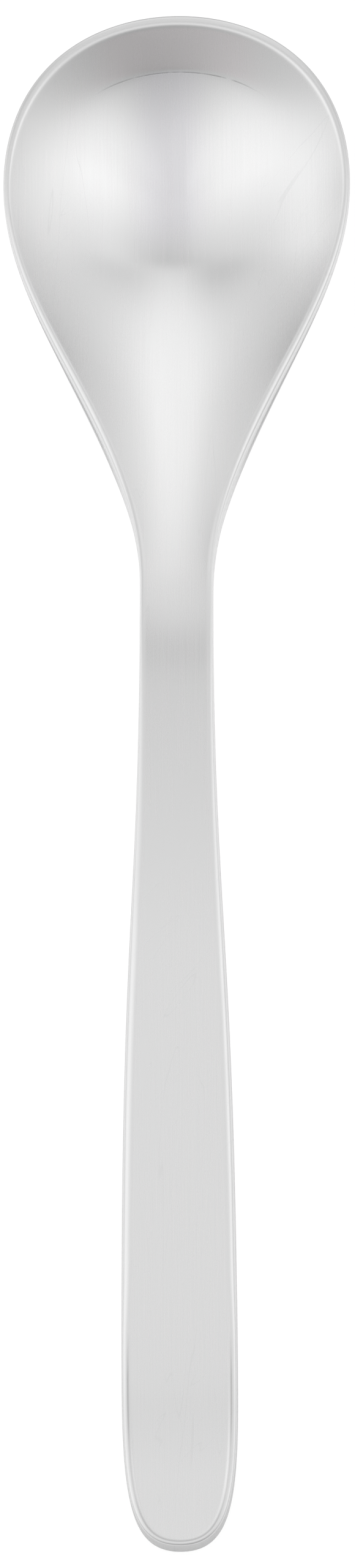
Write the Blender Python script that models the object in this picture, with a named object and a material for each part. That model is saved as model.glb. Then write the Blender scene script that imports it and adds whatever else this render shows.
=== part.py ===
"""Teaspoon pressed from one strip of stainless steel.

The spoon is one sheet of changing thickness. Its middle surface hangs between two lines seen
from the side: the centre line, which dips into the bowl and climbs over the neck, and the rim
line, which runs along the edge. The plan outline says how far the sheet reaches sideways. A
steeper wall stands round the front of the bowl, and a shallow thumb dish is coined into the
upper face near the end of the handle. The bowl's thin rim is rounded over its whole thickness,
and the handle's thick edges are rounded above and below.

It lies bowl up on a table at Z = 0, with the bowl towards +Y. Lengths are millimetres, angles
degrees, and stations are counted from the tip of the bowl towards the end of the handle.
"""
import bmesh
import bpy
import numpy as np
from mathutils import Vector
from mathutils.geometry import interpolate_bezier

MM = 0.001

# Plan outline
BOWL_WIDTH = 31.6
NECK_WIDTH = 6.53
HANDLE_WIDTH = 10.2
TIP_TO_WIDEST = 16.35
WIDEST_TO_NECK = 39.7
NECK_TO_BROADEST = 72.5
BROADEST_TO_END = 14.4

# How full the outline's curves are, as shares of the width or length that each one spans
TIP_FULLNESS = 0.52
SHOULDER_FULLNESS = 0.68
FLANK_FULLNESS = 0.332
NECK_FULLNESS = 0.375
SHANK_FULLNESS = 0.44
GRIP_FULLNESS = 0.58
CORNER_FULLNESS = 0.7
END_FULLNESS = 0.9

# Side view, heights of the middle surface above the table
TIP_HEIGHT = 7.0
ARCH_HEIGHT = 8.3
WIDEST_TO_DEEPEST = 5.2
NECK_TO_ARCH = 7.5
ARCH_TO_STRAIGHT = 31.0
HOLLOW_ANGLE = 32.0
RIM_SAG = 1.3

# How full the side view's curves are, as shares of the length that each one spans
HOLLOW_FULLNESS = 0.3
FLOOR_FULLNESS = 0.42
RISE_FULLNESS = 0.17
ARCH_FULLNESS = 0.34
BEND_SHARE = 0.72
RIM_FULLNESS = 0.75
RIM_RISE_FULLNESS = 0.17

# Wall round the front of the bowl, which meets the hollow in a crease
WALL_RISE = 1.5
WALL_WIDTH = 3.5
CREASE_RADIUS = 0.2
FADED_CREASE_RADIUS = 3.0
WALL_FULL_ANGLE = 15.0
WALL_END_ANGLE = 75.0

# Thickness
RIM_GAUGE = 1.0
BOWL_GAUGE = 1.1
NECK_GAUGE = 2.7
HANDLE_GAUGE = 2.5
NECK_THICKENING_LENGTH = 41.0
RIM_THINNING_START = 0.5

# Rounded edges: how far in they begin and how soft their inner corner is, at the tip of the bowl,
# along its sides, along the handle and round the dish. The turns are shares of the edge's height.
TIP_INSET, RIM_INSET, HANDLE_INSET, DISH_INSET = 0.65, 0.35, 0.9, 0.5
TIP_CORNER, RIM_CORNER, HANDLE_CORNER, DISH_CORNER = 0.3, 0.12, 0.1, 0.06
TIP_ROUNDING_START = 4.0
TIP_ROUNDING_END = 28.0
NECK_ROUNDING_LENGTH = 24.0
UPPER_TURN = 0.75
LOWER_TURN = 0.5

# Thumb dish
DISH_DEPTH = 0.12
DISH_STEP_WIDTH = 0.25
DISH_END_SHARE = 0.3
END_TO_DISH = 18.5
END_TO_DISH_BOTTOM = 10.5
DISH_BORDER_LENGTH = 5.0

# How finely the surface is divided
OUTLINE_STEPS = (18, 22, 24, 16)
UPPER_REACHES = (0.05, 0.14, 0.25, 0.36, 0.46, 0.53, 0.57, 0.61, 0.68, 0.77, 0.86, 0.93, 0.965, 1.0)
LOWER_REACHES = (1.0, 0.92, 0.8, 0.66, 0.51, 0.36, 0.21, 0.07)
CORNER_STEPS = 2
UPPER_TURN_STEPS = 3
LOWER_TURN_STEPS = 3
CURVE_STEPS = 400
SLOPE_STEP = 0.02
RIM_SLOPE_REACH = 0.985
LEAST_REACH = 1e-6
WELD = 1e-4

# Stations
WIDEST = TIP_TO_WIDEST
NARROWEST = WIDEST + WIDEST_TO_NECK
BROADEST = NARROWEST + NECK_TO_BROADEST
LENGTH = BROADEST + BROADEST_TO_END
DEEPEST = WIDEST + WIDEST_TO_DEEPEST
ARCH = NARROWEST + NECK_TO_ARCH
STRAIGHT = ARCH + ARCH_TO_STRAIGHT


def curve(knots, steps):
    """Points of a chain of cubic curves through (point, arriving handle, leaving handle)."""
    points = [np.array(knots[0][0], float)]
    for (start, _, leave), (end, arrive, _), count in zip(knots, knots[1:], steps):
        bend = [Vector((*p, 0.0)) for p in (start, leave, arrive, end)]
        points += [np.array(p[:2]) for p in interpolate_bezier(*bend, count + 1)[1:]]
    return np.array(points)


def blend(low, high, start, end, place):
    """Ease from one value to another between two places."""
    t = np.clip((place - start) / (end - start), 0.0, 1.0)
    return low + (high - low) * t * t * (3.0 - 2.0 * t)


def outline(steps):
    """Right half of the plan outline as (half width, station), from the tip to the end."""
    bowl, neck, handle = BOWL_WIDTH / 2, NECK_WIDTH / 2, HANDLE_WIDTH / 2
    return curve((
        ((0.0, 0.0), None, (TIP_FULLNESS * bowl, 0.0)),
        ((bowl, WIDEST), (bowl, WIDEST - SHOULDER_FULLNESS * TIP_TO_WIDEST),
         (bowl, WIDEST + FLANK_FULLNESS * WIDEST_TO_NECK)),
        ((neck, NARROWEST), (neck, NARROWEST - NECK_FULLNESS * WIDEST_TO_NECK),
         (neck, NARROWEST + SHANK_FULLNESS * NECK_TO_BROADEST)),
        ((handle, BROADEST), (handle, BROADEST - GRIP_FULLNESS * NECK_TO_BROADEST),
         (handle, BROADEST + CORNER_FULLNESS * BROADEST_TO_END)),
        ((0.0, LENGTH), (END_FULLNESS * handle, LENGTH), None)), steps)


def gauge(station, reach):
    """Thickness of the sheet at a station, from the middle (reach 0) to the edge (reach 1)."""
    thickening = ARCH - NECK_THICKENING_LENGTH
    middle = blend(BOWL_GAUGE, NECK_GAUGE, thickening, ARCH, station)
    rim = blend(RIM_GAUGE, NECK_GAUGE, thickening, ARCH, station)
    handle = blend(0.0, HANDLE_GAUGE - NECK_GAUGE, ARCH, STRAIGHT, station)
    return blend(middle, rim, RIM_THINNING_START, 1.0, reach) + handle


def along_spoon(tip, rim, handle, end, station):
    """Ease from the value at the tip to those along the rim, along the handle and round the dish."""
    dish_start = LENGTH - END_TO_DISH
    value = blend(tip, rim, TIP_ROUNDING_START, TIP_ROUNDING_END, station)
    value += blend(0.0, handle - rim, ARCH - NECK_ROUNDING_LENGTH, STRAIGHT, station)
    return value + blend(0.0, end - handle, dish_start - DISH_BORDER_LENGTH, dish_start, station)


def inset(points):
    """Outline moved in to the border of the faces, and its outward directions."""
    along = np.gradient(points, axis=0)
    along[0], along[-1] = (1.0, 0.0), (-1.0, 0.0)
    out = np.stack((along[:, 1], -along[:, 0]), axis=1)
    out /= np.linalg.norm(out, axis=1)[:, None]
    width = along_spoon(TIP_INSET, RIM_INSET, HANDLE_INSET, DISH_INSET, points[:, 1])
    return points - width[:, None] * out, out


def side_lines():
    """Centre line and rim line of the middle surface as (station, height)."""
    foot = HANDLE_GAUGE / 2
    corner = ARCH + BEND_SHARE * ARCH_TO_STRAIGHT
    end = LENGTH - DISH_INSET
    slope = (ARCH_HEIGHT - foot) / (end - corner)

    def handle(station):
        return (station, foot + slope * (end - station))

    pull = HOLLOW_FULLNESS * DEEPEST
    angle = np.radians(HOLLOW_ANGLE)
    rise = ARCH - DEEPEST
    depth = BOWL_GAUGE / 2
    brow = (TIP_INSET, TIP_HEIGHT - WALL_RISE)
    arch = (ARCH, ARCH_HEIGHT)
    centre = curve((
        (brow, None, (brow[0] + pull * np.cos(angle), brow[1] - pull * np.sin(angle))),
        ((DEEPEST, depth), (DEEPEST - FLOOR_FULLNESS * DEEPEST, depth),
         (DEEPEST + RISE_FULLNESS * rise, depth)),
        (arch, (ARCH - ARCH_FULLNESS * rise, ARCH_HEIGHT), (corner, ARCH_HEIGHT)),
        (handle(STRAIGHT), handle((corner + STRAIGHT) / 2), handle((STRAIGHT + end) / 2)),
        (handle(LENGTH), handle((STRAIGHT + end) / 2), None)), [CURVE_STEPS] * 4)
    rim = curve((
        ((TIP_INSET, TIP_HEIGHT), None, (RIM_FULLNESS * ARCH, TIP_HEIGHT - RIM_SAG)),
        (arch, (ARCH - RIM_RISE_FULLNESS * ARCH, ARCH_HEIGHT), None)), [CURVE_STEPS])
    return centre, rim


CENTRE, RIM = side_lines()
EDGE = inset(outline([CURVE_STEPS] * 4))[0]
BOWL_EDGE = EDGE[EDGE[:, 1] < NARROWEST]
DISH_EDGE = EDGE[EDGE[:, 1] > LENGTH - END_TO_DISH - HANDLE_WIDTH]


def bearing(x, station):
    """Angle round the bowl from its tip."""
    return np.degrees(np.arctan2(np.abs(x), WIDEST - station))


def wall_share(x, station):
    """How much of the front wall stands here: all of it at the tip, none along the sides."""
    return blend(1.0, 0.0, WALL_FULL_ANGLE, WALL_END_ANGLE, bearing(x, station))


def from_edge(x, station, edge):
    """Plan distance to a stretch of the edge."""
    apart = np.hypot(np.abs(x)[:, None] - edge[:, 0], station[:, None] - edge[:, 1])
    return apart.min(axis=1)


def ramp(climb, soft):
    """A ramp that starts at zero, with a soft foot."""
    return (climb + np.sqrt(climb ** 2 + soft ** 2)) / 2


def sheet(x, station):
    """Height of the middle surface."""
    centre = np.interp(station, *CENTRE.T)
    reach = np.maximum(np.interp(station, EDGE[:, 1], EDGE[:, 0]), LEAST_REACH)
    brow = np.interp(station, *RIM.T) - WALL_RISE * wall_share(reach, station)
    rim = np.where(station < ARCH, brow, centre)
    climb = 1.0 - from_edge(x, station, BOWL_EDGE) / WALL_WIDTH
    crease = blend(CREASE_RADIUS, FADED_CREASE_RADIUS, 0.0, WALL_END_ANGLE, bearing(x, station))
    soft = crease / WALL_WIDTH
    wall = WALL_RISE * wall_share(x, station) * ramp(climb, soft) / ramp(1.0, soft)
    return centre + (rim - centre) * (x / reach) ** 2 + wall


def sheet_normal(x, station):
    """Upward unit normal of the middle surface."""
    step = SLOPE_STEP
    across = (sheet(x + step, station) - sheet(x - step, station)) / (2 * step)
    along = (sheet(x, station + step) - sheet(x, station - step)) / (2 * step)
    normal = np.stack((-across, -along, np.ones_like(across)), axis=-1)
    return normal / np.linalg.norm(normal, axis=-1)[:, None]


def dish(x, station):
    """Depth of the thumb dish below the upper face."""
    bottom = LENGTH - END_TO_DISH_BOTTOM
    sink = blend(0.0, 1.0, LENGTH - END_TO_DISH, bottom, station)
    rise = blend(0.0, 1.0 - DISH_END_SHARE, bottom, LENGTH, station)
    border = blend(0.0, 1.0, 0.0, DISH_STEP_WIDTH, from_edge(x, station, DISH_EDGE))
    return DISH_DEPTH * (sink - rise) * border


def spine(station):
    """Point of the middle line that each edge point is drawn towards."""
    front, back = TIP_TO_WIDEST / 2, HANDLE_WIDTH / 2
    left = LENGTH - station
    near_tip = front + station ** 2 / (4 * front)
    near_end = LENGTH - back - left ** 2 / (4 * back)
    return np.where(station < 2 * front, near_tip, np.where(left < 2 * back, near_end, station))


CUT = outline(OUTLINE_STEPS)
BORDER, OUT = inset(CUT)
MIDDLE = np.stack((np.zeros(len(BORDER)), spine(BORDER[:, 1])), axis=1)


def face_ring(reach, side):
    """Half ring on the upper (side 1) or lower (side -1) face, and the sheet's normals there."""
    plan = MIDDLE + reach * (BORDER - MIDDLE)
    inside = MIDDLE + min(reach, RIM_SLOPE_REACH) * (BORDER - MIDDLE)
    height, normal = sheet(*plan.T), sheet_normal(*inside.T)
    if reach == 1.0:
        height = np.where(BORDER[:, 1] < ARCH, np.interp(BORDER[:, 1], *RIM.T), height)
    half = gauge(plan[:, 1], reach) / 2
    if side > 0:
        half = half - dish(*plan.T)
    return np.column_stack((plan, height)) + side * normal * half[:, None], normal


def dot(vectors, directions):
    """How far each vector reaches in a direction, as a column."""
    return np.sum(vectors * directions, axis=1)[:, None]


def fillet(start, corner, end, turns):
    """Rings that round a corner, from its start (turn 0) to its end (turn 1)."""
    return [(1 - t) ** 2 * start + 2 * t * (1 - t) * corner + t ** 2 * end for t in turns]


def edge_rings():
    """Half rings round the edge, from the upper face down to the lower one."""
    upper, normal = face_ring(1.0, 1)
    lower = face_ring(1.0, -1)[0]
    up = np.array((0.0, 0.0, 1.0))
    level = np.column_stack((OUT, np.zeros(len(OUT))))

    def to_cut(points):
        return dot(np.column_stack((CUT, points[:, 2])) - points, level)

    slope = level - dot(level, normal) * normal
    slope /= np.linalg.norm(slope, axis=1)[:, None]
    corner = along_spoon(TIP_CORNER, RIM_CORNER, HANDLE_CORNER, DISH_CORNER, BORDER[:, 1])[:, None]
    inner = upper + slope * corner
    top = inner + level * corner
    outer = inner + level * to_cut(inner)
    under = lower + slope * to_cut(lower) / dot(slope, level)
    side = (outer - under)[:, 2:]
    drop = np.minimum(to_cut(top), UPPER_TURN * side)
    lift = np.minimum(to_cut(top), LOWER_TURN * (side - drop))
    first = np.linspace(0.0, 1.0, CORNER_STEPS + 1)[1:]
    second = np.linspace(0.0, 1.0, UPPER_TURN_STEPS + 1)[1:]
    third = np.linspace(0.0, 1.0, LOWER_TURN_STEPS + 1)[:-1]
    return (fillet(upper, inner, top, first) + fillet(top, outer, outer - up * drop, second)
            + fillet(under + up * lift, under, lower, third))


def whole_ring(half):
    """Close a half ring with its mirror image, in the axes of the finished part."""
    mirrored = half[-2:0:-1] * (-1.0, 1.0, 1.0)
    return np.vstack((half, mirrored)) * (MM, -MM, MM)


def rungs(bm, row):
    """Bridge a closed row of points from side to side, all but a corner at each end."""
    half = len(row) // 2
    sides = (row[1:half], row[half + 1:-1])
    edges = [bm.edges.get(pair) for side in sides for pair in zip(side, side[1:])]
    bmesh.ops.bridge_loops(bm, edges=edges)


def wrap(name, rings):
    """Wrap a grid round the spoon, one row of points a ring, and close both ends of the wrapping."""
    count, around = rings.shape[:2]
    bm = bmesh.new()
    bmesh.ops.create_grid(bm, x_segments=around, y_segments=count - 1)
    verts = list(bm.verts)
    rows = [verts[start:start + around + 1] for start in range(0, len(verts), around + 1)]
    for row, ring in zip(rows, rings):
        for vert, place in zip(row, [*ring, ring[0]]):
            vert.co = place
    rungs(bm, rows[0])
    rungs(bm, rows[-1])
    bmesh.ops.remove_doubles(bm, verts=bm.verts, dist=WELD * MM)
    bmesh.ops.holes_fill(bm, edges=bm.edges, sides=3)
    bmesh.ops.recalc_face_normals(bm, faces=bm.faces)
    mesh = bpy.data.meshes.new(name)
    bm.to_mesh(mesh)
    bm.free()
    mesh.shade_smooth()
    return bpy.data.objects.new(name, mesh)


def satin_steel():
    """Neutral satin stainless steel."""
    material = bpy.data.materials.new("satin_steel")
    material.use_nodes = True
    shader = material.node_tree.nodes["Principled BSDF"]
    shader.inputs["Base Color"].default_value = (0.78, 0.78, 0.775, 1.0)
    shader.inputs["Metallic"].default_value = 1.0
    shader.inputs["Roughness"].default_value = 0.3
    return material


for old in list(bpy.data.objects):
    bpy.data.objects.remove(old)

upper_face = [face_ring(reach, 1)[0] for reach in UPPER_REACHES]
lower_face = [face_ring(reach, -1)[0] for reach in LOWER_REACHES]
stack = np.array([whole_ring(half) for half in upper_face + edge_rings() + lower_face])
low, high = stack.min(axis=(0, 1)), stack.max(axis=(0, 1))
stack -= ((low[0] + high[0]) / 2, (low[1] + high[1]) / 2, low[2])
spoon = wrap("spoon", stack)
spoon.data.materials.append(satin_steel())
bpy.context.scene.collection.objects.link(spoon)
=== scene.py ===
# %% [markdown]
# # A teaspoon pressed from one strip of steel
#
# A plain modern teaspoon is a single piece of stainless steel. A press cuts its outline from a strip,
# rolls the bowl end thinner, and then strikes the bowl and the bent neck between two dies. What is left
# to see is one skin that flows from bowl to handle, so the whole lesson is about one good surface, its
# satin finish, and light that lets a shiny thing show its shape.
#
# The packed model is loaded first. It fixes the place and the size, and the new surface stays inside it.

# %% Load the frame
import math

import bmesh
import bpy
import numpy as np
from mathutils import Matrix, Vector
from mathutils.geometry import interpolate_bezier


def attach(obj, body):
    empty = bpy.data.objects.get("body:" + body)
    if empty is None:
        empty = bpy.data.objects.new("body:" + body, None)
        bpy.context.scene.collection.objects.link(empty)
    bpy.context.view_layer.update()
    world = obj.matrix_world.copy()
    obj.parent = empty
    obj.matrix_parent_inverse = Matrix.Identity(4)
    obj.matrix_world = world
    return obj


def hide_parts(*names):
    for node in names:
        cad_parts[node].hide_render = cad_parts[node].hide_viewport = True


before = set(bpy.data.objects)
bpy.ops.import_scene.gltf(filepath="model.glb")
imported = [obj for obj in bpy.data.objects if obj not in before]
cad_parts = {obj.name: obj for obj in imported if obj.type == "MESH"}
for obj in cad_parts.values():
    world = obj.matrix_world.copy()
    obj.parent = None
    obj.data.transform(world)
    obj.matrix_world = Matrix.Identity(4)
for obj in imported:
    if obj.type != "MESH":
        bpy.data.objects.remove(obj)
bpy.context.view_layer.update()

bpy.ops.object.select_all(action="DESELECT")

# %% [markdown]
# ## The sizes
#
# Everything hangs on a few sizes, in millimetres. Stations are counted from the tip of the bowl along the
# spoon, so the widest place of the bowl is a station, and so are the neck and the end.

# %% Driving sizes
MM = 0.001
BOWL_WIDTH, NECK_WIDTH, HANDLE_WIDTH = 31.6, 6.53, 10.2
TIP_TO_WIDEST, WIDEST_TO_NECK, NECK_TO_BROADEST, BROADEST_TO_END = 16.35, 39.7, 72.5, 14.3
WIDEST_TO_DEEPEST, NECK_TO_ARCH, ARCH_TO_STRAIGHT = 5.2, 7.5, 31.0
TIP_HEIGHT, ARCH_HEIGHT, RIM_SAG = 7.0, 8.3, 1.3
RIM_GAUGE, BOWL_GAUGE, NECK_GAUGE, HANDLE_GAUGE = 1.0, 1.1, 2.7, 2.5

WIDEST = TIP_TO_WIDEST
NARROWEST = WIDEST + WIDEST_TO_NECK
BROADEST = NARROWEST + NECK_TO_BROADEST
LENGTH = BROADEST + BROADEST_TO_END
DEEPEST = WIDEST + WIDEST_TO_DEEPEST
ARCH = NARROWEST + NECK_TO_ARCH
STRAIGHT = ARCH + ARCH_TO_STRAIGHT
print("length", round(LENGTH, 1), "mm, bowl", BOWL_WIDTH, "mm wide, neck at station", round(NARROWEST, 1))

# %% [markdown]
# ## The outline
#
# Seen from above, the cut edge is a chain of smooth curves: round tip, widest place, waist, broadest
# place of the handle, round end. A Bezier curve needs only its knots and how far each handle reaches.
# That reach is written as a share of the span, so a fuller tip is one number.

# %% Outline curve
def curve(knots, steps):
    """Points of a chain of cubic curves through (point, arriving handle, leaving handle)."""
    points = [np.array(knots[0][0], float)]
    for (start, _, leave), (end, arrive, _), count in zip(knots, knots[1:], steps):
        bend = [Vector((*p, 0.0)) for p in (start, leave, arrive, end)]
        points += [np.array(p[:2]) for p in interpolate_bezier(*bend, count + 1)[1:]]
    return np.array(points)


TIP_FULLNESS, SHOULDER_FULLNESS = 0.52, 0.68
FLANK_FULLNESS, NECK_FULLNESS = 0.332, 0.375
SHANK_FULLNESS, GRIP_FULLNESS = 0.44, 0.58
CORNER_FULLNESS, END_FULLNESS = 0.71, 0.86


def outline(steps):
    """Right half of the outline as (half width, station), from the tip to the end."""
    bowl, neck, handle = BOWL_WIDTH / 2, NECK_WIDTH / 2, HANDLE_WIDTH / 2
    return curve((
        ((0.0, 0.0), None, (TIP_FULLNESS * bowl, 0.0)),
        ((bowl, WIDEST), (bowl, WIDEST - SHOULDER_FULLNESS * TIP_TO_WIDEST),
         (bowl, WIDEST + FLANK_FULLNESS * WIDEST_TO_NECK)),
        ((neck, NARROWEST), (neck, NARROWEST - NECK_FULLNESS * WIDEST_TO_NECK),
         (neck, NARROWEST + SHANK_FULLNESS * NECK_TO_BROADEST)),
        ((handle, BROADEST), (handle, BROADEST - GRIP_FULLNESS * NECK_TO_BROADEST),
         (handle, BROADEST + CORNER_FULLNESS * BROADEST_TO_END)),
        ((0.0, LENGTH), (END_FULLNESS * handle, LENGTH), None)), steps)


OUTLINE_STEPS = (36, 34, 26, 24)
print("outline half has", len(outline(OUTLINE_STEPS)), "points")

# %% [markdown]
# ## Thickness and edges
#
# The strip is rolled thin for the bowl, thinnest at the rim, and stays thick in the neck and handle. The
# upper face stops a little inside the outline, where the rounding of the edge begins: close to the cut
# along the sides of the bowl, further in at its tip, and further still on the handle, which has to be
# kind to the hand.

# %% Gauge and inset
NECK_THICKENING_LENGTH, RIM_THINNING_START = 41.0, 0.5
TIP_INSET, RIM_INSET, HANDLE_INSET, DISH_INSET = 0.8, 0.3, 0.9, 0.55
TIP_ROUNDING_START, TIP_ROUNDING_END, NECK_ROUNDING_LENGTH = 1.0, 20.0, 24.0
END_TO_DISH, DISH_BORDER_LENGTH = 18.5, 5.0


def blend(low, high, start, end, place):
    """Ease from one value to another between two places."""
    t = np.clip((place - start) / (end - start), 0.0, 1.0)
    return low + (high - low) * t * t * (3.0 - 2.0 * t)


def gauge(station, reach):
    """Thickness of the sheet at a station, from the middle (reach 0) to the edge (reach 1)."""
    thickening = ARCH - NECK_THICKENING_LENGTH
    middle = blend(BOWL_GAUGE, NECK_GAUGE, thickening, ARCH, station)
    rim = blend(RIM_GAUGE, NECK_GAUGE, thickening, ARCH, station)
    handle = blend(0.0, HANDLE_GAUGE - NECK_GAUGE, ARCH, STRAIGHT, station)
    return blend(middle, rim, RIM_THINNING_START, 1.0, reach) + handle


def along_spoon(tip, rim, handle, end, station, front=(TIP_ROUNDING_START, TIP_ROUNDING_END)):
    """Ease from the value at the tip to those along the rim, along the handle and round its end."""
    dish_start = LENGTH - END_TO_DISH
    value = blend(tip, rim, *front, station)
    value += blend(0.0, handle - rim, ARCH - NECK_ROUNDING_LENGTH, STRAIGHT, station)
    return value + blend(0.0, end - handle, dish_start - DISH_BORDER_LENGTH, dish_start, station)


def inset(points):
    """Outline moved in to the border of the faces, and its outward directions."""
    along = np.gradient(points, axis=0)
    along[0], along[-1] = (1.0, 0.0), (-1.0, 0.0)
    out = np.stack((along[:, 1], -along[:, 0]), axis=1)
    out /= np.linalg.norm(out, axis=1)[:, None]
    width = along_spoon(TIP_INSET, RIM_INSET, HANDLE_INSET, DISH_INSET, points[:, 1])
    return points - width[:, None] * out, out


CURVE_STEPS = 400
EDGE = inset(outline([CURVE_STEPS] * 4))[0]
for station in (0.0, DEEPEST, NARROWEST, BROADEST):
    print("station", round(station, 1), "gauge", round(float(gauge(station, 0.0)), 2), "mm")

# %% [markdown]
# ## The side view
#
# Two lines seen from the side carry the sheet: the centre line dips into the bowl, climbs over the neck
# and runs straight down the handle, and the rim line runs along the edge. Between the two the sheet hangs
# in a shallow parabola, as pressed sheet does. Over the neck the rim line is drawn towards the centre
# line, because the section flattens there on its way to the handle.

# %% Centre line and rim line
HOLLOW_ANGLE, HOLLOW_FULLNESS, FLOOR_FULLNESS = 32.0, 0.3, 0.42
RISE_FULLNESS, ARCH_FULLNESS, BEND_SHARE = 0.17, 0.34, 0.72
RIM_FULLNESS, RIM_RISE_FULLNESS = 0.75, 0.17
NECK_FLATNESS, FLATTENING_START, FLATTENING_END = 0.62, 34.0, 52.0
WALL_RISE = 1.5


def side_lines():
    """Centre line and rim line of the middle surface as (station, height)."""
    foot = HANDLE_GAUGE / 2
    corner = ARCH + BEND_SHARE * ARCH_TO_STRAIGHT
    end = LENGTH - DISH_INSET
    slope = (ARCH_HEIGHT - foot) / (end - corner)

    def handle(station):
        return (station, foot + slope * (end - station))

    pull = HOLLOW_FULLNESS * DEEPEST
    angle = math.radians(HOLLOW_ANGLE)
    rise = ARCH - DEEPEST
    depth = BOWL_GAUGE / 2
    brow = (TIP_INSET, TIP_HEIGHT - WALL_RISE)
    arch = (ARCH, ARCH_HEIGHT)
    centre = curve((
        (brow, None, (brow[0] + pull * math.cos(angle), brow[1] - pull * math.sin(angle))),
        ((DEEPEST, depth), (DEEPEST - FLOOR_FULLNESS * DEEPEST, depth),
         (DEEPEST + RISE_FULLNESS * rise, depth)),
        (arch, (ARCH - ARCH_FULLNESS * rise, ARCH_HEIGHT), (corner, ARCH_HEIGHT)),
        (handle(STRAIGHT), handle((corner + STRAIGHT) / 2), handle((STRAIGHT + end) / 2)),
        (handle(LENGTH), handle((STRAIGHT + end) / 2), None)), [CURVE_STEPS] * 4)
    rim = curve((
        ((TIP_INSET, TIP_HEIGHT), None, (RIM_FULLNESS * ARCH, TIP_HEIGHT - RIM_SAG)),
        (arch, (ARCH - RIM_RISE_FULLNESS * ARCH, ARCH_HEIGHT), None)), [CURVE_STEPS])
    floor = np.interp(rim[:, 0], *centre.T)
    share = blend(1.0, NECK_FLATNESS, FLATTENING_START, FLATTENING_END, rim[:, 0])
    rim[:, 1] = floor + share * (rim[:, 1] - floor)
    return centre, rim


CENTRE, RIM = side_lines()
print("arch of the neck at station", round(ARCH, 1), "and", ARCH_HEIGHT, "mm up")

# %% [markdown]
# ## The front wall
#
# The die leaves one more form: a steeper wall round the front of the bowl, which meets the hollow in a
# crease. It could be a second surface, cut against the first. Here it is a ramp that starts at the crease
# and rises to the rim, added to the same sheet, so that it can fade out along the sides while the crease
# grows soft.

# %% Sheet with its wall
WALL_WIDTH, CREASE_RADIUS, FADED_CREASE_RADIUS = 2.9, 0.2, 3.0
WALL_FULL_ANGLE, WALL_END_ANGLE = 15.0, 75.0
LEAST_REACH, SLOPE_STEP = 0.000001, 0.02


def bearing(x, station):
    """Angle round the bowl from its tip, in degrees."""
    return np.degrees(np.arctan2(np.abs(x), WIDEST - station))


def wall_share(x, station):
    """How much of the front wall stands here: all of it at the tip, none along the sides."""
    return blend(1.0, 0.0, WALL_FULL_ANGLE, WALL_END_ANGLE, bearing(x, station))


def from_edge(x, station, edge):
    """Plan distance to a stretch of the edge."""
    apart = np.hypot(np.abs(x)[:, None] - edge[:, 0], station[:, None] - edge[:, 1])
    return apart.min(axis=1)


def hinge(climb, soft):
    """A ramp that starts at zero, with a soft foot."""
    return (climb + np.sqrt(climb ** 2 + soft ** 2)) / 2


BOWL_EDGE = EDGE[EDGE[:, 1] < NARROWEST]


def sheet(x, station):
    """Height of the middle surface."""
    centre = np.interp(station, *CENTRE.T)
    reach = np.maximum(np.interp(station, EDGE[:, 1], EDGE[:, 0]), LEAST_REACH)
    brow = np.interp(station, *RIM.T) - WALL_RISE * wall_share(reach, station)
    rim = np.where(station < ARCH, brow, centre)
    climb = 1.0 - from_edge(x, station, BOWL_EDGE) / WALL_WIDTH
    soft = blend(CREASE_RADIUS, FADED_CREASE_RADIUS, 0.0, WALL_END_ANGLE, bearing(x, station)) / WALL_WIDTH
    wall = WALL_RISE * wall_share(x, station) * hinge(climb, soft) / hinge(1.0, soft)
    return centre + (rim - centre) * (x / reach) ** 2 + wall


def sheet_normal(x, station):
    """Upward unit normal of the middle surface."""
    step = SLOPE_STEP
    across = (sheet(x + step, station) - sheet(x - step, station)) / (2 * step)
    along = (sheet(x, station + step) - sheet(x, station - step)) / (2 * step)
    normal = np.stack((-across, -along, np.ones_like(across)), axis=-1)
    return normal / np.linalg.norm(normal, axis=-1)[:, None]


print("wall", WALL_RISE, "mm high and", WALL_WIDTH, "mm wide at the tip")

# %% [markdown]
# ## The thumb dish
#
# The last stretch of the handle's upper face is coined into a shallow dish. Its floor sinks gently and
# rises again towards the end, and a narrow step along the edge leaves a raised border. Only the upper
# face has it, so it is taken off the thickness there.

# %% Dish
DISH_DEPTH, DISH_END_SHARE, END_TO_DISH_BOTTOM = 0.4, 0.3, 7.0
DISH_STEP_SHARE, DISH_STEP_WIDTH = 0.08, 0.3
DISH_EDGE = EDGE[EDGE[:, 1] > LENGTH - END_TO_DISH - HANDLE_WIDTH]


def dish(x, station):
    """Depth of the dish below the upper face."""
    bottom = LENGTH - END_TO_DISH_BOTTOM
    sink = blend(0.0, 1.0, LENGTH - END_TO_DISH, bottom, station)
    rise = blend(0.0, 1.0 - DISH_END_SHARE, bottom, LENGTH, station)
    step = blend(1.0 - DISH_STEP_SHARE, 1.0, 0.0, DISH_STEP_WIDTH, from_edge(x, station, DISH_EDGE))
    return DISH_DEPTH * (sink - rise) * step


print("dish from station", round(LENGTH - END_TO_DISH, 1), "to the end,", DISH_DEPTH, "mm deep")

# %% [markdown]
# ## Rings that wrap the spoon
#
# A grid would have to collapse at the tip. Rings don't: each is a smaller copy of the outline, drawn in
# towards a line along the middle, first over the top, then round the edge and underneath.

# %% Face rings
UPPER_RINGS, LOWER_RINGS = 56, 14
INNERMOST, RIM_SLOPE_REACH = 0.04, 0.985


def spine(station):
    """Point of the middle line that each edge point is drawn towards."""
    front, back = TIP_TO_WIDEST / 2, HANDLE_WIDTH / 2
    left = LENGTH - station
    near_tip = front + station ** 2 / (4 * front)
    near_end = LENGTH - back - left ** 2 / (4 * back)
    return np.where(station < 2 * front, near_tip, np.where(left < 2 * back, near_end, station))


cut = outline(OUTLINE_STEPS)
border, out = inset(cut)
middle = np.stack((np.zeros(len(border)), spine(border[:, 1])), axis=1)


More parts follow.
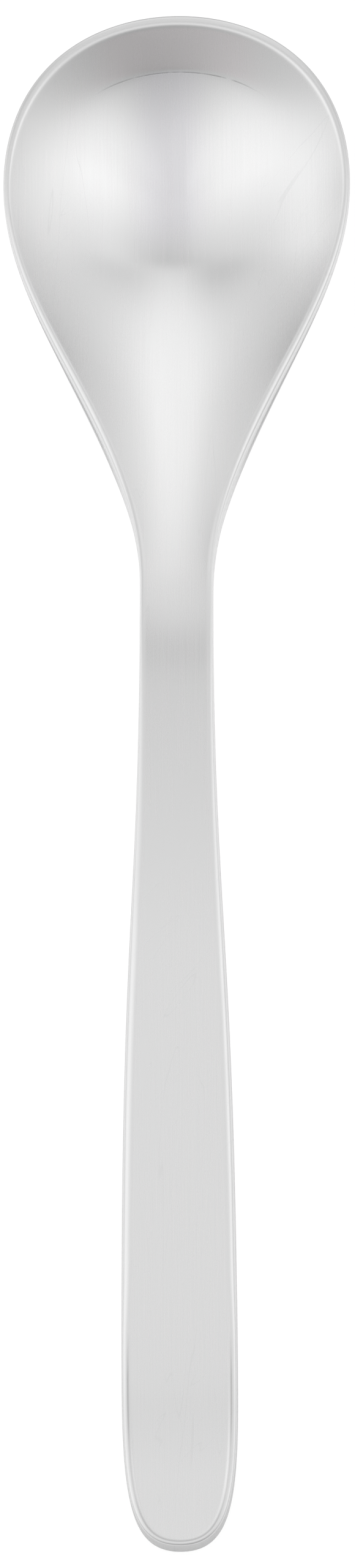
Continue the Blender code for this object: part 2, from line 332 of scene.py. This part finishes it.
def face_ring(reach, side):
    """Half ring on the upper (side 1) or the lower (side -1) face, and the sheet's normals there."""
    plan = middle + reach * (border - middle)
    inside = middle + min(reach, RIM_SLOPE_REACH) * (border - middle)
    height, normal = sheet(*plan.T), sheet_normal(*inside.T)
    if reach == 1.0:
        height = np.where(border[:, 1] < ARCH, np.interp(border[:, 1], *RIM.T), height)
    half = gauge(plan[:, 1], reach) / 2
    if side > 0:
        half = half - dish(*plan.T)
    return np.column_stack((plan, height)) + side * normal * half[:, None], normal


upper_rings = [face_ring(reach, 1)[0] for reach in np.linspace(INNERMOST, 1.0, UPPER_RINGS)]
lower_rings = [face_ring(reach, -1)[0] for reach in np.linspace(1.0, INNERMOST, LOWER_RINGS)]
print(len(upper_rings), "rings over the upper face and", len(lower_rings), "under the lower one")

# %% [markdown]
# ## The edge
#
# Nothing on a spoon may cut, so its edge is rounded in three turns: the inner corner, from the face up to
# the top of the rim, then the outer turn from the top down the side, and the last one under the spoon. A
# bevel would give every place much the same radius. Here each turn is a curve that leaves along one side
# and arrives along the next, and its size eases from the broad rim at the tip to the narrow flanks.

# %% Edge rings
TIP_CORNER, RIM_CORNER, HANDLE_CORNER, DISH_CORNER = 0.25, 0.1, 0.1, 0.06
UPPER_TURN, LOWER_TURN = 0.75, 0.4
CORNER_STEPS, UPPER_TURN_STEPS, LOWER_TURN_STEPS = 3, 6, 5


def fillet(start, corner, end, turns):
    """Rings that round a corner."""
    return [(1 - t) ** 2 * start + 2 * t * (1 - t) * corner + t ** 2 * end for t in turns]


def edge_rings():
    """Half rings round the edge, from the upper face down to the lower one."""
    upper, normal = face_ring(1.0, 1)
    lower = face_ring(1.0, -1)[0]
    up = np.array((0.0, 0.0, 1.0))
    level = np.column_stack((out, np.zeros(len(out))))

    def along(a, b):
        return np.sum(a * b, axis=1)[:, None]

    def to_cut(points):
        return along(np.column_stack((cut, points[:, 2])) - points, level)

    slope = level - along(level, normal) * normal
    slope /= np.linalg.norm(slope, axis=1)[:, None]
    corner = along_spoon(TIP_CORNER, RIM_CORNER, HANDLE_CORNER, DISH_CORNER, border[:, 1])[:, None]
    inner = upper + slope * corner
    top = inner + level * corner
    outer = inner + level * to_cut(inner)
    under = lower + slope * to_cut(lower) / along(slope, level)
    side = (outer - under)[:, 2:]
    drop = np.minimum(to_cut(top), UPPER_TURN * side)
    lift = np.minimum(to_cut(top), LOWER_TURN * (side - drop))
    return (fillet(upper, inner, top, np.linspace(0.0, 1.0, CORNER_STEPS + 1)[1:])
            + fillet(top, outer, outer - up * drop, np.linspace(0.0, 1.0, UPPER_TURN_STEPS + 1)[1:])
            + fillet(under + up * lift, under, lower, np.linspace(0.0, 1.0, LOWER_TURN_STEPS + 1)[:-1]))


halves = upper_rings + edge_rings() + lower_rings
rings = np.array([np.vstack((half, half[-2:0:-1] * (-1.0, 1.0, 1.0))) for half in halves])
rings = rings * (MM, -MM, MM)
low, high = rings.min(axis=(0, 1)), rings.max(axis=(0, 1))
rings -= ((low[0] + high[0]) / 2, (low[1] + high[1]) / 2, low[2])
print(len(rings), "rings of", rings.shape[1], "points, size in mm", np.round((high - low) / MM, 2))

# %% [markdown]
# ## Drawing the skin
#
# The first ring is a circle primitive whose points are slid to their places. It is then extruded, ring
# after ring, as one would pull an edge loop by hand. A lofted surface would do as well, but pulled loops
# keep their points in order, and that order is used again for the finish.

# %% Circle pulled into a skin
def chosen(bm):
    """The points that are selected, in order."""
    return sorted((v for v in bm.verts if v.select), key=lambda v: v.index)


def slide(obj, ring):
    """Move the selected loop of an object in edit mode to a ring of places."""
    bm = bmesh.from_edit_mesh(obj.data)
    bm.verts.index_update()
    for vert, place in zip(chosen(bm), ring):
        vert.co = place
    bmesh.update_edit_mesh(obj.data)


bpy.ops.mesh.primitive_circle_add(vertices=rings.shape[1], radius=BOWL_WIDTH / 2 * MM)
spoon = bpy.context.object
spoon.name = spoon.data.name = "pressed_spoon"
bpy.ops.object.mode_set(mode="EDIT")
bpy.ops.mesh.select_mode(type="VERT")
bpy.ops.mesh.select_all(action="SELECT")
slide(spoon, rings[0])
for ring in rings[1:]:
    bpy.ops.mesh.extrude_region_move()
    slide(spoon, ring)
spoon.update_from_editmode()
print("skin has", len(spoon.data.polygons), "faces before it is closed")

# %% [markdown]
# ## Closing the faces
#
# A slit is left open along the middle of each face. One large face in it would shade badly, so it is
# bridged from side to side, and the small triangle at each end is filled.

# %% Close both faces
def close_loop(obj, first):
    """Bridge the loop of points that starts with a given one, from side to side."""
    count = rings.shape[1]
    half = count // 2
    bm = bmesh.from_edit_mesh(obj.data)
    bm.verts.ensure_lookup_table()
    bm.edges.ensure_lookup_table()
    for edge in bm.edges:
        edge.select = False
    for start in (1, half + 1):
        for i in range(first + start, first + start + half - 2):
            bm.edges.get((bm.verts[i], bm.verts[i + 1])).select = True
    bmesh.update_edit_mesh(obj.data)
    bpy.ops.mesh.bridge_edge_loops()


bpy.ops.mesh.select_mode(type="EDGE")
bpy.ops.mesh.select_all(action="DESELECT")
close_loop(spoon, 0)
close_loop(spoon, (len(rings) - 1) * rings.shape[1])
bpy.ops.mesh.select_all(action="SELECT")
bpy.ops.mesh.fill_holes(sides=3)
bpy.ops.mesh.select_all(action="SELECT")
bpy.ops.mesh.normals_make_consistent(inside=False)
bpy.ops.object.mode_set(mode="OBJECT")
bm = bmesh.new()
bm.from_mesh(spoon.data)
open_edges = sum(len(e.link_faces) != 2 for e in bm.edges)
print("open edges:", open_edges, "volume", round(bm.calc_volume() / MM ** 3), "mm3")
bm.free()

# %% [markdown]
# ## Marks for the finish
#
# The finish follows the form, so the points carry marks that the material can read. `edge` is 1 round the
# edge, which is tumbled and a little duller. `side` grows down the cut side and darkens it: painted shade,
# standing for the shadowed floor close to the spoon that the side reflects. `line` follows the border of
# the dish and the top of the front rim and darkens them with painted shade. They could be painted by hand,
# but the rings already know where they lie.

# %% Edge, side and line
def whole(half):
    """Values of a half ring, mirrored to the whole ring."""
    return np.concatenate((half, half[-2:0:-1]))


def mark(name, values):
    """Store a value on every point of the spoon."""
    layer = spoon.data.attributes.new(name, "FLOAT", "POINT")
    layer.data.foreach_set("value", np.broadcast_to(values, rings.shape[:2]).astype(np.float32).ravel())


# Painted shade down the cut side, standing for the shadowed floor that it reflects
# At the tip, along the rim, along the handle and round its end
SIDE_SHADES = (1.2, 0.4, 0.8, 1.0)
SIDE_STARTS, SIDE_ENDS = (0.4, 0.5, 0.5, 0.5), (0.65, 0.8, 0.8, 0.8)
SIDE_FRONT = (8.0, 22.0)
# Painted shade lines along the dish's border step and the top of the front rim
# Places along the outer turn, which starts at 0 and ends at 1
LINE_IN, LINE_OUT = (-0.84, -0.5), (-0.5, 0.0)
RIM_LINE_IN, RIM_LINE_OUT = (0.1, 0.33), (0.34, 0.5)
# Millimetres into the dish for its line, stations for the rim's
LINE_START, LINE_FADE, LINE_END, FADED_LINE = (1.15, 4.15), (6.65, 10.65), (13.65, 17.15), 0.35
RIM_LINE_FADE, RIM_LINE = (14.0, 26.0), 0.5

ring_of = np.arange(len(rings))[:, None]
turned = (ring_of - UPPER_RINGS - CORNER_STEPS + 1) / UPPER_TURN_STEPS
on_edge = (ring_of >= UPPER_RINGS - 1) & (ring_of <= len(rings) - LOWER_RINGS)
station = whole(cut[:, 1])
into_dish = station - (LENGTH - END_TO_DISH)


def stripe(rise, fall):
    """A stripe along the edge, between two places of the outer turn."""
    return blend(0.0, 1.0, *rise, turned) * blend(1.0, 0.0, *fall, turned)


shade, start, end = (along_spoon(*values, station, SIDE_FRONT)
                     for values in (SIDE_SHADES, SIDE_STARTS, SIDE_ENDS))
faint = 1.0 - FADED_LINE
dish_line = blend(0.0, 1.0, *LINE_START, into_dish) - blend(0.0, faint, *LINE_FADE, into_dish)
dish_line += blend(0.0, faint, *LINE_END, into_dish)
rim_line = blend(RIM_LINE, 0.0, *RIM_LINE_FADE, station)
mark("edge", on_edge)
# Painted shade: the cut side is darkened as if it reflected the shadowed floor beside the spoon
mark("side", shade * blend(0.0, 1.0, start, end, turned) * on_edge)
# Painted shade: dark lines along the border of the dish and the top of the front rim
mark("line", stripe(LINE_IN, LINE_OUT) * dish_line + stripe(RIM_LINE_IN, RIM_LINE_OUT) * rim_line)
print("edge is", int(on_edge.sum()), "rings wide")

# %% [markdown]
# ## The crease as a mark
#
# The crease in the bowl gets a thin broken line of painted shade, which is also rougher and a little
# sunken. `from_crease` holds the distance below it in millimetres, less than zero on the wall, and a value
# far off where there is no crease. When all marks are stored, one level of subdivision smooths the skin
# and carries them along.

# %% Distance from the crease, and the smooth skin
NO_CREASE, FAR_FROM_CREASE = -9.0, 9.0
depths = np.full(rings.shape[:2], NO_CREASE)
for ring, reach in zip(depths, np.linspace(INNERMOST, 1.0, UPPER_RINGS)):
    plan = middle + reach * (border - middle)
    below = from_edge(*plan.T, BOWL_EDGE) - WALL_WIDTH
    ring[:] = whole(np.where(plan[:, 1] < WIDEST, below, FAR_FROM_CREASE))
mark("from_crease", depths)

smooth = spoon.modifiers.new("smooth", "SUBSURF")
smooth.levels = smooth.render_levels = 1
bpy.ops.object.modifier_apply(modifier=smooth.name)
bpy.ops.object.shade_smooth()
print("finished skin:", len(spoon.data.polygons), "faces")

# %% [markdown]
# ## Helpers for node trees
#
# Materials and light are node trees. They could be wired by hand in the editor, but a script can be read
# again, so a small class adds a node, fills its inputs and links it in one call.

# %% Node helpers
class Tree:
    """Adds nodes to a node tree and links what they are given."""

    def __init__(self, owner):
        owner.use_nodes = True
        self.nodes, self.links = owner.node_tree.nodes, owner.node_tree.links

    def set(self, socket, value):
        """Link a socket, or set it to a plain value."""
        if isinstance(value, bpy.types.NodeSocket):
            self.links.new(value, socket)
        else:
            socket.default_value = value

    def add(self, kind, inputs=(), output=0, **settings):
        """A node with its settings and inputs (by place or by name); gives back one of its outputs."""
        node = self.nodes.new("ShaderNode" + kind)
        for key, value in settings.items():
            setattr(node, key, value)
        pairs = inputs.items() if isinstance(inputs, dict) else enumerate(inputs)
        for key, value in pairs:
            self.set(node.inputs[key], value)
        return node.outputs[output]

    def math(self, operation, *values):
        """A Math node."""
        return self.add("Math", values, operation=operation)

    def step(self, value, start, end, low=0.0, high=1.0):
        """Ease from low to high while the value goes from start to end."""
        return self.add("MapRange", {"Value": value, "From Min": start, "From Max": end,
                                     "To Min": low, "To Max": high}, interpolation_type="SMOOTHSTEP")

    def noise(self, place, scale, detail=2.0):
        """Noise on a place that is stretched by a scale for each direction."""
        place = self.add("Mapping", {"Vector": place, "Scale": scale})
        return self.add("TexNoise", {"Vector": place, "Scale": 1.0, "Detail": detail})


print("helpers:", [name for name in vars(Tree) if not name.startswith("_")])

# %% [markdown]
# ## Satin steel
#
# Satin steel is a mirror broken up by countless fine scratches that all run along the spoon. An image of
# brushed metal would be tied to one size, so stretched noise makes them: it is squeezed across and drawn
# out along, and stirs both the roughness and the bump. The marks on the points are read here too.

# %% Grain and marks
GRAIN, FINE_GRAIN, CLOUDS = (6000.0, 110.0, 250.0), (15000.0, 320.0, 500.0), (70.0, 45.0, 70.0)
GRAIN_DETAIL = 3.0

steel = bpy.data.materials.new("satin_steel")
tree = Tree(steel)
shader = tree.nodes["Principled BSDF"]
place = tree.add("TexCoord", output="Object")
grain = tree.noise(place, GRAIN, GRAIN_DETAIL)
fine_grain = tree.noise(place, FINE_GRAIN)
clouds = tree.noise(place, CLOUDS)
# The side and line marks carry painted shade
edge, side, painted_shade_line, crease = (tree.add("Attribute", output="Fac", attribute_name=name)
                                   for name in ("edge", "side", "line", "from_crease"))
print("grain lines are about", round(1 / (GRAIN[0] * MM), 2), "mm apart")

# %% [markdown]
# ## Wear, and painted shade in the crease
#
# A used spoon has hairlines: long, thin, slightly curved, and only here and there. Curves laid on the
# skin would be hard to keep so thin. Contour lines of stretched noise look just like them, and a second
# noise wipes most of them out. Just below the crease in the bowl runs a thin broken line of painted
# shade, which is also rougher and a little sunken.

# %% Hairlines and painted shade in the crease
HAIRLINE_WIDTH, CONTOUR, PLAIN = 0.004, 0.5, 1.0
PATCHES, PATCH_EDGE = (55.0, 55.0, 55.0), 0.06
# Degrees off the length, stretch, and how rare they are
LONG_HAIRLINES, SLANTED_HAIRLINES = (4.0, (420.0, 26.0, 0.0), 0.5), (38.0, (380.0, 40.0, 0.0), 0.58)
SHADE_BELOW_CREASE, CREASE_SHADE_WIDTH, CREASE_SHADE_DASHES = 0.35, 0.09, (600.0, 200.0, 0.0)
CREASE_SHADE_HALF, CREASE_SHADE_FADE, DASH_GAPS = 4.0 * MM, 8.5 * MM, (0.3, 0.55)


def hairlines(turn, scale, least):
    """Thin scratches that run a given number of degrees off the spoon's length, in patches."""
    turned = tree.add("Mapping", {"Vector": place, "Rotation": (0.0, 0.0, math.radians(turn))})
    height = tree.math("ABSOLUTE", tree.math("SUBTRACT", tree.noise(turned, scale, PLAIN), CONTOUR))
    line = tree.step(height, 0.0, HAIRLINE_WIDTH, 1.0, 0.0)
    patch = tree.step(tree.noise(turned, PATCHES, PLAIN), least, least + PATCH_EDGE)
    return tree.math("MULTIPLY", line, patch)


scratches = tree.math("MAXIMUM", hairlines(*LONG_HAIRLINES), hairlines(*SLANTED_HAIRLINES))
parts = tree.add("SeparateXYZ", (place,)).node.outputs
across, forward = parts["X"], parts["Y"]
# Painted shade: a thin broken dark line just below the crease, also rougher and sunken
line = tree.step(tree.math("ABSOLUTE", tree.math("SUBTRACT", crease, SHADE_BELOW_CREASE)),
                 CREASE_SHADE_WIDTH / 4, CREASE_SHADE_WIDTH, 1.0, 0.0)
dashes = tree.step(tree.noise(place, CREASE_SHADE_DASHES), *DASH_GAPS)
near = tree.step(tree.math("ABSOLUTE", across), CREASE_SHADE_HALF, CREASE_SHADE_FADE, 1.0, 0.0)
crease_shade = tree.math("MULTIPLY", tree.math("MULTIPLY", line, dashes), near)
print("scuff line", SHADE_BELOW_CREASE, "mm below the crease")

# %% [markdown]
# ## Colour, and painted reflections
#
# Steel is grey, but hardly ever one grey. Large soft clouds drift between a cool and a warm tone. The faint
# blue band along the middle of the bowl's hollow and the slight warmth of the wall in front of it are
# painted reflections, the tints of the reflected room put into the steel's colour.
# Masks mix them: distances from the middle line and from the crease, with soft borders.

# %% Tints
BASE_COOL, BASE_WARM = (0.748, 0.749, 0.752, 1.0), (0.753, 0.752, 0.750, 1.0)
# Painted reflections: a blue tint along the middle of the hollow, a warm one on the front wall
PAINTED_BLUE_REFLECTION, PAINTED_WARM_REFLECTION = (0.754, 0.748, 0.768, 1.0), (0.768, 0.744, 0.750, 1.0)
BAND_SIDE, BAND_HALF, BAND_FADE = 0.8 * MM, 1.0 * MM, 4.5 * MM
BAND_START, BAND_END = 49.0 * MM, 54.0 * MM
WARM_HALF, WARM_FADE, WARM_BORDER = 5.0 * MM, 9.0 * MM, 0.1 * WALL_WIDTH


def mixed(share, first, second):
    """A colour between two others."""
    return tree.add("Mix", {"Factor": share, "A": first, "B": second}, output="Result", data_type="RGBA")


aside = tree.math("ABSOLUTE", tree.math("ADD", across, BAND_SIDE))
band = tree.math("MULTIPLY", tree.step(aside, BAND_HALF, BAND_FADE, 1.0, 0.0),
                 tree.step(forward, BAND_START, BAND_END))
band = tree.math("MULTIPLY", band, tree.step(crease, 0.0, SHADE_BELOW_CREASE))
halfway = tree.math("ABSOLUTE", tree.math("ADD", crease, WALL_WIDTH / 2))
on_wall = tree.step(halfway, (WALL_WIDTH - WARM_BORDER) / 2, (WALL_WIDTH + WARM_BORDER) / 2, 1.0, 0.0)
in_front = tree.step(tree.math("ABSOLUTE", across), WARM_HALF, WARM_FADE, 1.0, 0.0)
wall = tree.math("MULTIPLY", on_wall, in_front)
# The clouds are the steel's own tone; the band and the wall add painted reflection tints
tone_and_painted_reflections = mixed(wall, mixed(band, mixed(clouds, BASE_COOL, BASE_WARM), PAINTED_BLUE_REFLECTION), PAINTED_WARM_REFLECTION)
print("blue band", 2 * BAND_HALF / MM, "mm wide before it fades")

# %% [markdown]
# ## The finish put together
#
# Each mark may change three things: the shade of the steel, its roughness, and the height that the bump
# reads. One list holds all the amounts, so the finish is tuned in one place, and each of the three is a
# plain sum.

# %% Shade, roughness and bump
LEAST_ROUGHNESS = 0.215
GRAIN_DEPTH, GRAIN_STRENGTH = 0.000012, 0.26
# Mark, change of shade, of roughness and of height
SHADE, ROUGHNESS, HEIGHT = 1, 2, 3
FINISH = (
    (grain, 0.0, 0.06, 1.0),
    (fine_grain, 0.0, 0.0, 0.5),
    (clouds, 0.0, 0.05, 0.0),
    (scratches, -0.03, 0.04, -0.3),
    # Painted shade in the crease, with more roughness and a sunken bump
    (crease_shade, -0.35, 0.2, -2.0),
    (edge, 0.0, 0.05, 0.0),
    # Painted shade down the cut side
    (side, -0.38, 0.0, 0.0),
    (painted_shade_line, -0.3, 0.0, 0.0),
)


def total(start, column):
    """A start value, and what each mark adds in one column of the list."""
    value = start
    for row in FINISH:
        if row[column]:
            value = tree.math("MULTIPLY_ADD", row[0], row[column], value)
    return value


shade, height = total(1.0, SHADE), total(0.0, HEIGHT)
roughness = total(LEAST_ROUGHNESS, ROUGHNESS)
bump = tree.add("Bump", {"Height": height, "Strength": GRAIN_STRENGTH, "Distance": GRAIN_DEPTH})
tree.set(shader.inputs["Base Color"], tree.add("VectorMath", {0: tone_and_painted_reflections, "Scale": shade}, operation="SCALE"))
tree.set(shader.inputs["Roughness"], roughness)
tree.set(shader.inputs["Normal"], bump)
shader.inputs["Metallic"].default_value = 1.0
spoon.data.materials.append(steel)
print("steel has", len(tree.nodes), "nodes")

# %% [markdown]
# ## Floor
#
# The spoon lies on a white table. A plain white floor never renders quite white, and more light would
# burn out the steel. So part of what the camera and the reflections see of it is a steady white glow. The
# other part is the lit floor, which keeps the shadow.

# %% White floor
FLOOR_SIZE, FLOOR_WHITE = 4.0, 0.95
SHADOW_FADE, SEEN_GLOW, MIRRORED_GLOW = 0.8, 0.88, 0.38
bpy.ops.mesh.primitive_plane_add(size=FLOOR_SIZE)
floor = bpy.context.object
floor.name = "floor"
white = bpy.data.materials.new("white_floor")
tree = Tree(white)
floor_shader = tree.nodes["Principled BSDF"]
rays = tree.add("LightPath").node.outputs
seen = rays["Is Camera Ray"]
mirrored = tree.math("MAXIMUM", rays["Is Glossy Ray"], rays["Is Transmission Ray"])
pale = tree.math("MULTIPLY_ADD", seen, -SHADOW_FADE * FLOOR_WHITE, FLOOR_WHITE)
glow = tree.math("MULTIPLY_ADD", seen, SEEN_GLOW, tree.math("MULTIPLY", mirrored, MIRRORED_GLOW))
tree.set(floor_shader.inputs["Base Color"], pale)
tree.set(floor_shader.inputs["Emission Color"], glow)
floor_shader.inputs["Emission Strength"].default_value = 1.0
floor_shader.inputs["Roughness"].default_value = 1.0
floor.data.materials.append(white)
print("floor", FLOOR_SIZE, "m wide")

# %% [markdown]
# ## Studio light
#
# Polished metal has no look of its own: it shows the room. So the light is drawn as the room that the
# spoon reflects, with soft boxes that add light and black flags that take it away. Each is a soft spot,
# placed by two angles from straight overhead, one across the spoon to the right and one along it towards
# the bowl. Area lamps could do it too, but their borders would show in the bowl. The camera itself sees
# plain white.

# %% Soft boxes and flags
AMBIENT = 0.74
# Name, place and spread in degrees, strength
STUDIO = (
    ("back light", (0.0, 50.0), (28.0, 30.0), 1.04),
    ("left box", (-35.0, 5.0), (35.0, 25.0), 0.58),
    ("right box", (36.0, 9.0), (20.0, 25.0), 0.63),
    ("left window", (-55.0, 65.0), (5.0, 25.0), 0.5),
    ("left strip", (-60.0, 35.0), (15.0, 20.0), 0.35),
    ("right strip", (55.0, 40.0), (10.0, 35.0), 0.34),
    ("front flag", (10.0, -50.0), (40.0, 40.0), -0.3),
    ("left flag", (-17.0, 38.0), (20.0, 16.0), -0.73),
    ("right flag", (18.0, 40.0), (20.0, 14.0), -0.6),
    ("bar between the lights", (5.0, 23.5), (24.0, 3.5), -0.9),
    ("far bar", (0.0, 65.0), (10.0, 20.0), -0.4),
    ("shade of the lens", (0.0, 11.0), (8.0, 9.0), -0.28),
)
world = bpy.data.worlds.new("studio")
bpy.context.scene.world = world
tree = Tree(world)
direction = tree.add("TexCoord", output="Generated")
parts = tree.add("SeparateXYZ", (direction,)).node.outputs
across = tree.math("DEGREES", tree.math("ARCSINE", parts["X"]))
along = tree.math("DEGREES", tree.math("ARCTAN2", parts["Y"], parts["Z"]))
angles = tree.add("CombineXYZ", (across, along, 0.0))

light = AMBIENT
for name, centre, spread, strength in STUDIO:
    away = tree.add("VectorMath", (angles, (*centre, 0.0)), operation="SUBTRACT")
    away = tree.add("VectorMath", (away, (*spread, 1.0)), operation="DIVIDE")
    far = tree.add("VectorMath", (away, away), output="Value", operation="DOT_PRODUCT")
    soft = tree.math("EXPONENT", tree.math("MULTIPLY", far, -1.0))
    soft.node.label = name
    light = tree.math("MULTIPLY_ADD", soft, strength, light)
sky = tree.nodes["Background"]
sky.inputs["Color"].default_value = (1.0, 1.0, 1.0, 1.0)
tree.set(sky.inputs["Strength"], tree.math("MAXIMUM", light, tree.add("LightPath", output="Is Camera Ray")))
print(len(STUDIO), "soft boxes and flags")

# %% [markdown]
# ## Camera
#
# A spoon is photographed from nearly straight above with a long lens, so that the bowl doesn't swell. The
# camera stands off by angles from the vertical: tilted towards the handle, and a little to the right. A
# Track To constraint could aim it, but writing its three axes also fixes the roll.

# %% Camera
CAMERA_DISTANCE, TILT, SIDEWAYS, ROLL, AIM_HEIGHT = 0.9, 19.0, 1.99, -0.09, 0.005
LENS, SHIFT_X, SHIFT_Y, NEAREST = 231.2, -0.0004, -0.0137, 0.01
aim = Vector((0.0, 0.0, AIM_HEIGHT))
back = Vector((math.tan(math.radians(SIDEWAYS)), -math.tan(math.radians(TILT)), 1.0)).normalized()
right = Vector((0.0, 1.0, 0.0)).cross(back).normalized()
right = Matrix.Rotation(math.radians(ROLL), 3, back) @ right
camera = bpy.data.objects.new("camera", bpy.data.cameras.new("camera"))
bpy.context.scene.collection.objects.link(camera)
camera.matrix_world = Matrix.Translation(aim + back * CAMERA_DISTANCE) @ Matrix(
    (right, back.cross(right), back)).transposed().to_4x4()
camera.data.lens, camera.data.shift_x, camera.data.shift_y = LENS, SHIFT_X, SHIFT_Y
camera.data.clip_start = NEAREST
bpy.context.scene.camera = camera
bpy.context.scene.view_settings.view_transform = "Standard"
print("camera at", [round(value, 3) for value in camera.matrix_world.translation])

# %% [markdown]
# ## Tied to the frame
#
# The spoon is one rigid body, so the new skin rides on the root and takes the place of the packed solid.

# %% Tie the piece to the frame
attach(spoon, "root")
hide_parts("spoon")
print(spoon.name, "rides on the root")
